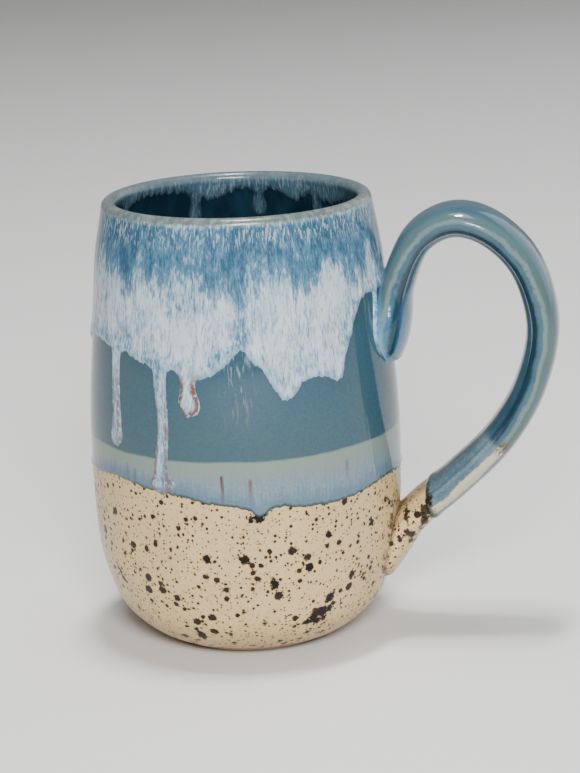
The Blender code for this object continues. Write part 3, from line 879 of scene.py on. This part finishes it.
def make_cream_coat():
    surface = wall_surface(np.arange(outside_place(1.2), outside_place(58.0), 0.75), COLUMNS)
    azimuth, height = surface[3]["azimuth"], surface[3]["height"]
    wiped = 2.4 + 0.3 * wander(azimuth, (5, 11, 17), 7.0) + 0.15 * wander(azimuth, (61, 97), 8.0)
    depth = np.minimum(height - wiped, 3.0 - blue_depth(azimuth, height))
    coat = trimmed(*surface, depth)
    lift = rounded(coat[3]["edge"], 0.35, 1.0) - 0.35
    return add_object("cream_coat", shell("cream_coat", coat, lift, CREAM_UNDER), cream_look)


def make_blue_coat():
    surface = wall_surface(np.arange(outside_place(43.0), outside_place(108.0), 0.7), COLUMNS)
    azimuth, height = surface[3]["azimuth"], surface[3]["height"]
    coat = trimmed(*surface, blue_depth(azimuth, height))
    edge = coat[3]["edge"]
    bead = 0.28 * np.exp(-(((edge - 0.9) / 0.9) ** 2))
    lift = rounded(edge, 0.25, 0.9) - 0.10 + bead
    return add_object("blue_coat", shell("blue_coat", coat, lift, BLUE_UNDER), blue_look)


def make_white_coat():
    start, finish = outside_place(50.0), inside_place(108.0)
    surface = wall_surface(np.arange(start, finish, 0.62), COLUMNS)
    azimuth, height, place = (surface[3][n] for n in ("azimuth", "height", "place"))
    outside, burn = white_depth(azimuth, height)
    inside = mouth_depth(azimuth, height)
    depth = np.where(place < section_along[crest], outside, inside)
    burn = np.where(place < section_along[crest], burn, 0.0)
    inner = (place > section_along[crest]).astype(float)
    coat = trimmed(*add_measures(surface, burn=burn, inside=inner), depth)
    edge, place = coat[3]["edge"], coat[3]["place"]
    on_wall = np.clip((section_along[crest] - 5 - place) / 12, 0, 1)
    thickness = 0.12 + 0.38 * on_wall
    bead = 0.30 * on_wall * np.exp(-(((edge - 1.6) / 1.5) ** 2))
    runny = 0.10 * on_wall * wander(coat[3]["azimuth"], (23, 37, 53), 9.0)
    lift = rounded(edge, 1.0, 1.4) * (thickness + bead + runny) - 0.02
    return add_object("white_coat", shell("white_coat", coat, lift, WHITE_UNDER), white_look)


cream_coat = make_cream_coat()
blue_coat = make_blue_coat()
white_coat = make_white_coat()
for coat in (cream_coat, blue_coat, white_coat):
    print(coat.name, "has", len(coat.data.polygons), "faces")

# %% [markdown]
# The handle is a strap pulled from a lump of clay and bent while soft. Its middle line is a smooth curve in
# the mug's plane, and its section changes along it: pressed thin and wide by a thumb where it joins, and
# softly squared between. The glaze on it is a skin swept over that strap. Glaze thins on the crown of the
# strap's edge and pools beside it, so the section carries a ridge along its edge and a shallow groove next
# to it on the finger side.

# %% The strap
HANDLE_REACH = 43.1
HANDLE_PATH = (  # share of the reach out from the wall, share of the height
    (0.000, 0.638), (0.050, 0.720), (0.100, 0.799), (0.250, 0.896), (0.500, 0.940), (0.740, 0.917),
    (0.940, 0.834), (1.000, 0.707), (0.880, 0.570), (0.660, 0.449), (0.380, 0.353), (0.115, 0.272),
    (0.030, 0.207), (0.005, 0.142),
)
STRAP = (  # share of the path, half-width and half-thickness of the clay
    (0.00, 7.5, 1.8), (0.03, 12.2, 3.0), (0.07, 13.4, 3.6), (0.15, 10.8, 3.6), (0.24, 9.8, 3.6),
    (0.70, 9.8, 3.6), (0.85, 10.8, 3.7), (0.93, 12.6, 2.8), (0.97, 11.5, 1.8), (1.00, 6.5, 0.9),
)
COAT = 0.8
COAT_UNDER = 0.65
WRAP_ENDS_BY = 0.22
CHANGE_SHARE = 0.815
STEPS = 300
ROUND = 84

path_line = smooth_curve(HANDLE_PATH, 24)
path_share = np.linspace(0, 1, len(path_line))


def between(points, share):
    """A value by its share of the path, smooth between the points."""
    dense = smooth_curve(points, 12)
    return np.array([np.interp(share, dense[:, 0], dense[:, k]) for k in range(1, dense.shape[1])])


def path_point(share):
    """Radius and height of the strap's middle line."""
    out, up = (np.interp(share, path_share, path_line[:, k]) for k in (0, 1))
    return side_radius(up * HEIGHT) + out * HANDLE_REACH, up * HEIGHT


def strap_surface(start, finish, steps):
    """The strap's glazed surface between two shares, as points, normals, faces and measures."""
    share = np.linspace(start, finish, steps)
    x, z = path_point(share)
    x0, z0 = path_point(share - 0.004)
    x1, z1 = path_point(share + 0.004)
    length = np.hypot(x1 - x0, z1 - z0)
    ax, az = (x1 - x0) / length, (z1 - z0) / length
    half_width, half_thick = between(STRAP, share) + COAT
    turn = np.linspace(0, 2 * math.pi, ROUND, endpoint=False)
    side, out = np.cos(turn), np.sin(turn)
    y_share = np.sign(side) * np.abs(side) ** 0.8
    z_share = np.sign(out) * np.abs(out) ** 0.8
    free = np.clip(np.minimum(share - 0.10, 0.90 - share) / 0.08, 0, 1)
    groove = np.exp(-(((np.abs(y_share) - 0.80) / 0.10) ** 2)) * (out < 0)
    ridge = 0.28 * np.exp(-(((z_share - 0.22) / 0.13) ** 2)) * np.sign(y_share) * (np.abs(y_share) > 0.7)
    furrow = -0.35 * np.exp(-(((z_share + 0.42) / 0.14) ** 2)) * np.sign(y_share) * (np.abs(y_share) > 0.7)
    y = half_width[:, None] * y_share + free[:, None] * (ridge + furrow)
    rise = half_thick[:, None] * z_share + free[:, None] * 0.55 * groove
    wave = 0.12 * np.sin(share * 43)[:, None] + 0.10 * np.sin(share * 71 + 1.0)[:, None]
    y = y + free[:, None] * wave * np.sign(y_share) * np.abs(y_share) ** 2
    wrap = np.maximum(0, 1 - np.minimum(share, 1 - share) / WRAP_ENDS_BY)[:, None]
    reach = side_radius(z)[:, None]
    bend = wrap * (reach - np.sqrt(np.maximum(reach**2 - y**2, 1.0)))
    points = np.stack([x[:, None] - az[:, None] * rise - bend, y, z[:, None] + ax[:, None] * rise], 2)
    along = np.gradient(points, axis=0)
    about = (np.roll(points, -1, axis=1) - np.roll(points, 1, axis=1)) / 2
    normals = np.cross(along, about)
    normals /= np.maximum(np.linalg.norm(normals, axis=2), 1e-9)[:, :, None]
    middle = np.stack([x, 0 * x, z], 1)[:, None, :]
    if ((points - middle) * normals).sum() < 0:
        normals = -normals
    grid = np.arange(steps * ROUND).reshape(steps, ROUND)
    beside = np.roll(grid, -1, axis=1)
    faces = np.stack([grid[:-1], grid[1:], beside[1:], beside[:-1]], 2).reshape(-1, 4)
    a, b, c, _ = points.reshape(-1, 3)[faces[len(faces) // 2]]
    if np.dot(np.cross(b - a, c - a), normals.reshape(-1, 3)[faces[len(faces) // 2][0]]) < 0:
        faces = faces[:, ::-1]
    measures = {
        "along": np.repeat(share, ROUND),
        "across": np.tile(y_share, steps),
        "outer": np.tile(z_share, steps),
    }
    return points.reshape(-1, 3), normals.reshape(-1, 3), faces, measures


def wall_gap(points):
    """How far points stand out from the cup's glazed wall, in mm."""
    radius = np.hypot(points[:, 0], points[:, 1])
    return radius - side_radius(np.clip(points[:, 2], 0, HEIGHT - 4))


total = path_point(np.linspace(0, 1, 400))
PATH_LENGTH = float(np.hypot(*np.diff(total, axis=1)).sum())
print(f"the strap is {PATH_LENGTH:.0f} mm long along its middle")

# %% [markdown]
# Two coats dress the strap. The blue one runs from the upper join to just above the lower one, with a bead at
# its end, and the cream one carries on to the wall. Where each meets the cup it spreads into a small fillet,
# because glaze creeps into any corner, so the coat is pushed out towards the wall there and cut inside it.

# %% Coats on the strap
SINK = 0.35
FILLET = 1.3
LEAN = 1.5
STRAP_HALF = 3.2
PIT_SPACING = 3.2
# Blots of iron near the end of the blue: distance from the line in mm, place through the strap, radius in mm.
STRAP_BLOTS = ((-0.8, 0.05, 1.5), (-2.2, 0.45, 1.2), (1.2, -0.35, 1.0), (-8.5, 0.35, 1.5), (-11.5, 0.75, 1.2),
               (-6.0, -0.6, 1.1), (-4.6, 0.8, 0.9))


def handle_coat(name, start, finish, look, ends_at=None, starts_at=None):
    """A coat over part of the strap, sunk a little into the cup's wall and ended by its own lines."""
    surface = strap_surface(start, finish, STEPS)
    points, normals, faces, measures = surface
    run = measures["along"] * PATH_LENGTH
    ragged = 0.5 * np.sin(measures["across"] * 5.0 + 1.0) + 0.25 * np.sin(measures["across"] * 13.0)
    depth = wall_gap(points) + SINK
    if ends_at:
        depth = np.minimum(depth, ends_at * PATH_LENGTH + ragged + LEAN * measures["outer"] - run)
    if starts_at:
        depth = np.minimum(depth, run - starts_at * PATH_LENGTH)
    coat = trimmed(points, normals, faces, measures, depth)
    edge, gap = coat[3]["edge"], wall_gap(coat[0])
    lift = FILLET * np.exp(-np.maximum(gap + SINK, 0) / 0.9)
    if ends_at:
        left = (ends_at - coat[3]["along"]) * PATH_LENGTH + LEAN * coat[3]["outer"]
        bead = 0.22 * np.exp(-((left - 1.2) ** 2))
        lift = lift + rounded(np.maximum(left, 0.0), 0.35, 1.2) - 0.12 + bead
    coat[3]["gap"] = gap
    coat[3]["left"] = (CHANGE_SHARE - coat[3]["along"]) * PATH_LENGTH + LEAN * coat[3]["outer"]
    return add_object(name, shell(name, coat, lift, COAT_UNDER), look)


def band_share(tree, value, middle, core, fade):
    """One within core of the middle value, falling to nothing by fade."""
    return share_where(tree, (away_from(tree, value, middle), core, fade, 1.0, 0.0))


def strap_blots(tree, colour, left, outer, mottle):
    """Lays the named blots of iron over a colour."""
    for place, level, radius in STRAP_BLOTS:
        down = add_node(tree, "ShaderNodeMath", (left, place), operation="SUBTRACT")
        through = add_node(tree, "ShaderNodeMath", (outer, level), operation="SUBTRACT")
        through = add_node(tree, "ShaderNodeMath", (through, STRAP_HALF), operation="MULTIPLY")
        away = swayed(tree, round_from(tree, down, through), mottle, 3.0)
        colour = washed(tree, colour, "#150d09", (away, radius - 0.4, radius + 0.3, 0.95, 0.0))
    return colour


def handle_blue_look():
    # The same blue gloss on a narrow strap: thin, pale celadon on the ridge with a painted highlight, darker
    # beside it.
    measures = ("along", "across", "outer", "gap", "left")
    look, tree, shader, read = new_look("blue_glaze_on_the_strap", 0.10, measures, Specular_IOR_Level=0.45)
    along, across, outer, gap, left = read
    mottle = mottling(tree, 0.9, 3.0, 0.6)
    cloud = mottling(tree, 9.0, 2.0)
    level = swayed(tree, swayed(tree, outer, mottle, 0.22), mottling(tree, 8.0), 0.5)
    on_edge = share_where(tree, (away_from(tree, across, 0.0), 0.7, 0.92))
    deep = washed(tree, "#2d4c5e", "#365865", (cloud, 0.35, 0.65))
    deep = washed(tree, deep, "#3e5963", (level, -0.2, 1.0, 0.0, 0.6))
    deep = washed(tree, deep, "#3c6b8b", (along, 0.07, 0.17, 0.75, 0.0))
    crest = band_share(tree, level, 0.5, 0.05, 0.55)
    colour = washed(tree, deep, "#516560", crest, on_edge, (along, 0.05, 0.16, 0.2, 0.6))
    # A lighter line along the crest of the ridge: a painted highlight.
    line = band_share(tree, level, 0.2, 0.03, 0.2)
    colour = washed(tree, colour, "#7b8a82", line, on_edge, 0.5)
    groove = band_share(tree, level, -0.45, 0.08, 0.34)
    colour = washed(tree, colour, "#142a36", groove, on_edge, 0.85)
    lap = share_where(tree, (swayed(tree, along, mottle, 0.0066), 0.688, 0.698))
    over = washed(tree, "#4a6370", "#5f747c", (cloud, 0.35, 0.65))
    over = washed(tree, over, "#8697a0", (mottle, 0.45, 0.7, 0.0, 0.3))
    thin = band_share(tree, level, 0.30, 0.18, 0.34)
    over = washed(tree, over, "#bdb295", thin, on_edge, 0.95)
    colour = washed(tree, colour, over, lap)
    scorch = share_where(tree, band_share(tree, along, 0.692, 0.004, 0.014), (mottle, 0.42, 0.56), on_edge,
                         (level, -0.1, 0.2))
    colour = washed(tree, colour, "#5d3a26", scorch)
    bead = swayed(tree, left, mottle, 3.0, 0.3)
    colour = washed(tree, colour, "#2a2c26", (bead, 1.2, 3.2, 0.92, 0.0))
    colour = strap_blots(tree, colour, left, outer, mottle)
    # Pale blue along the seam at the wall: pooled glaze with a painted sheen over it.
    pooled_sheen = swayed(tree, gap, mottle, 1.2, 0.0)
    colour = washed(tree, colour, "#6c9dbc", (pooled_sheen, 1.0, 3.2, 0.8, 0.0))
    pits = add_node(tree, "ShaderNodeTexVoronoi", {"Vector": object_space(tree), "Scale": 1 / PIT_SPACING})
    pit = share_where(tree, (pits, 0.04, 0.1, 1.0, 0.0))
    colour = washed(tree, colour, "#21343c", pit, 0.6)
    relief = swayed(tree, mottling(tree, 3.0, 3.0), pit, -0.8, 0.0)
    finish_look(tree, shader, colour, relief, 0.35, 0.25)
    return look


def handle_cream_look():
    # The satin cream glaze on the end of the strap, darker brown in the crease towards the wall.
    measures = ("gap", "left", "outer")
    look, tree, shader, read = new_look("cream_glaze_on_the_strap", 0.30, measures, Specular_IOR_Level=0.25)
    gap, left, outer = read
    colour = cream_colour(tree)
    mottle = mottling(tree, 1.1, 3.0)
    colour = strap_blots(tree, colour, left, outer, mottle)
    # Darker brown within a few millimetres of the wall.
    crease = swayed(tree, gap, mottle, 2.0, 0.0)
    colour = washed(tree, colour, "#3d2c1e", (crease, 1.3, 3.0, 0.85, 0.0))
    finish_look(tree, shader, colour, mottling(tree, 2.2, 3.0), 0.25, 0.3)
    return look


strap_blue_look, strap_cream_look = handle_blue_look(), handle_cream_look()
strap_blue = handle_coat("strap_blue_coat", 0.0, CHANGE_SHARE + 0.02, strap_blue_look, ends_at=CHANGE_SHARE)
hidden = CHANGE_SHARE - 0.02
strap_cream = handle_coat("strap_cream_coat", CHANGE_SHARE - 0.03, 1.0, strap_cream_look, starts_at=hidden)
print(f"strap coats have {len(strap_blue.data.polygons)} and {len(strap_cream.data.polygons)} faces")

# %% [markdown]
# Slip is the liquid clay that glues the strap to the cup. A little squeezes out all round when the strap is
# pressed on, and the glaze lies over it as a soft welt. The welt follows a closed line on the wall, so a node
# tree sweeps a small rounded section along that line.

# %% Slip welts round the joins
def welt_tree(look):
    """A node group that sweeps a round section along the line it is given."""
    tree, given = start_group("welt", "Line", {"Radius": ("NodeSocketFloat", 0.001)}, "Welt")
    line = add_node(tree, "GeometryNodeMeshToCurve", {"Mesh": given["Line"]})
    ring = add_node(tree, "GeometryNodeCurvePrimitiveCircle", {"Resolution": 10, "Radius": given["Radius"]})
    swept = add_node(tree, "GeometryNodeCurveToMesh", {"Curve": line, "Profile Curve": ring})
    return finish_group(tree, swept, SEAM, look)


def footprint(start, finish, spread):
    """The closed line where the strap's outline, spread a little, meets the wall."""
    share = np.linspace(start, finish, 60)
    _, z = path_point(share)
    half = between(STRAP, share)[0] + COAT + spread
    line = np.concatenate([np.stack([half, z], 1), np.stack([-half, z], 1)[::-1]])
    y, z = line.T
    radius = side_radius(z) - 0.15
    x = np.sqrt(np.maximum(radius**2 - y**2, 0))
    return np.stack([x, y, z], 1)


def welt(name, start, finish, spread, radius, look):
    """A welt of slip along one end of the strap."""
    line = footprint(start, finish, spread)
    line = evenly(np.vstack([line, line[:1]]), 0.7)[:-1]
    return run_tree(name, line, welt_tree(look), look, {"Radius": radius * MM}, closed=True)


def glazed_slip_look(name, light, dark, roughness):
    """The slip's lumpy welt seen through the glaze that pooled over it."""
    # Glossy like the glaze round it, and uneven, because the slip below was smeared by a finger.
    look, tree, shader, _ = new_look(name, roughness)
    lumps = mottling(tree, 1.6, 3.0)
    grain = mottling(tree, 0.5, 2.0)
    level = add_node(tree, "ShaderNodeSeparateXYZ", (object_space(tree),)).outputs["Z"]
    # Between 62 and 82 mm the welt turns darker blue: there the painted sheen of the upper join ends.
    low = share_where(tree, (level, 82.0, 92.0, 1.0, 0.0), (level, 60.0, 62.0))
    colour = washed(tree, light, dark, (lumps, 0.38, 0.62))
    colour = washed(tree, colour, "#33586d", low)
    spot, _ = speckles(tree, 2.0, 0.4, 0.5, grain)
    colour = washed(tree, colour, "#1f1a17", spot, 0.7)
    finish_look(tree, shader, colour, lumps, 0.5, 0.3)
    return look


# The upper welt's pale blues are pooled blue glaze with a painted sheen; the lower welt's browns are the
# slip's own.
upper_slip_look = glazed_slip_look("slip_under_blue_glaze_with_painted_sheen", "#86b4d0", "#4d7d9c", 0.08)
lower_slip_look = glazed_slip_look("slip_under_cream_glaze", "#a5916c", "#3a2a1d", 0.30)
upper_welt = welt("upper_slip_welt", 0.004, 0.20, -0.2, 1.1, upper_slip_look)
lower_welt = welt("lower_slip_welt", 0.80, 0.996, -0.2, 0.8, lower_slip_look)
print(f"welts have {len(upper_welt.data.polygons)} and {len(lower_welt.data.polygons)} faces")

# %% [markdown]
# The strap's own clay stays as the frame made it, hidden under its coats, and only takes on the bare
# stoneware finish. Every other piece stands in for a part of the frame, and all of them ride on the one body.

# %% Fasten the pieces to the frame
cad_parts["handle"].data.materials.clear()
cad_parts["handle"].data.materials.append(clay_look)
PIECES = (
    (cup_clay, "body", "stoneware"),
    (liner, "liner_glaze", "liner_glaze"),
    (cream_coat, "base_glaze", "cream_glaze"),
    (blue_coat, "blue_glaze", "blue_glaze"),
    (white_coat, "white_glaze", "white_glaze"),
    (strap_blue, "handle_blue_glaze", "blue_glaze"),
    (strap_cream, "handle_base_glaze", "cream_glaze"),
    (upper_welt, "upper_slip_joint", "slip"),
    (lower_welt, "lower_slip_joint", "slip"),
)
for piece, node, slot in PIECES:
    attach(piece, "root")
    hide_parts(node)
print(len(PIECES), "pieces ride on the root")

# %% [markdown]
# The mug stands in the middle of a wide pale bowl: a flat floor that curves up all round, as paper does in a
# small product studio. A bowl has no corner or edge from any side, so every view shows the same plain ground.

# %% Floor and backdrop
FLOOR_RADIUS = 2.6
CURVE_RADIUS = 0.9
RIM_HEIGHT = 2.4


def backdrop():
    turn = np.linspace(0, math.pi / 2, 16)[1:]
    profile = [(radius, 0.0) for radius in (0.4, 1.0, 1.8, FLOOR_RADIUS)]
    profile += [(FLOOR_RADIUS + CURVE_RADIUS * math.sin(t), CURVE_RADIUS * (1 - math.cos(t))) for t in turn]
    profile.append((FLOOR_RADIUS + CURVE_RADIUS, RIM_HEIGHT))
    steps = 96
    angles = [math.tau * k / steps for k in range(steps)]
    points = [(r * math.cos(a), r * math.sin(a), z) for r, z in profile for a in angles]
    faces = [tuple(range(steps))]
    for low in range(0, (len(profile) - 1) * steps, steps):
        for i in range(steps):
            beside = (i + 1) % steps
            faces.append((low + i, low + beside, low + steps + beside, low + steps + i))
    mesh = bpy.data.meshes.new("floor")
    mesh.from_pydata(points, [], [f[::-1] if k else f for k, f in enumerate(faces)])
    # Uncoated paper: matt and plain, with a tooth too fine to cast a shadow.
    look, tree, shader, _ = new_look("pale_paper", 0.9)
    grain = mottling(tree, 1.2, 2.0)
    plug(tree, washed(tree, "#dad9d7", "#dedddb", grain), shader.inputs["Base Color"])
    return add_object("floor", mesh, look)


floor = backdrop()

# %% [markdown]
# Gloss shows the room, so the lights are as much a part of the finish as the glaze. One broad soft window
# stands in front and above, slightly to the left, and a tall pale card at the right lays the long cool
# reflection down the wall. A small lamp draws the bright points on the lip. The world fills in the rest.

# %% Lights
def soft_light(name, place, target, size, power, colour="#ffffff"):
    """A rectangular lamp aimed at a point, all in metres."""
    data = bpy.data.lights.new(name, "AREA")
    data.shape = "RECTANGLE"
    data.size, data.size_y = size
    data.energy = power
    data.color = linear(colour)[:3]
    lamp = bpy.data.objects.new(name, data)
    lamp.location = place
    lamp.rotation_euler = (Vector(target) - Vector(place)).to_track_quat("-Z", "Y").to_euler()
    bpy.context.scene.collection.objects.link(lamp)
    return lamp


MIDDLE = (0.0, 0.0, 0.06)
soft_light("window", (0.33, -1.35, 0.85), MIDDLE, (0.50, 0.45), 36.0)
soft_light("card", (0.95, 1.05, 0.45), MIDDLE, (1.3, 1.3), 6.0, "#f4f8ff")
soft_light("ceiling", (0.15, 0.1, 1.7), MIDDLE, (0.9, 0.6), 9.0)
soft_light("lamp", (0.05, -0.02, 1.45), MIDDLE, (0.30, 0.12), 18.0)

world = bpy.data.worlds.new("studio")
bpy.context.scene.world = world
world.use_nodes = True
world.node_tree.nodes["Background"].inputs["Color"].default_value = linear("#d9dde2")
world.node_tree.nodes["Background"].inputs["Strength"].default_value = 0.13
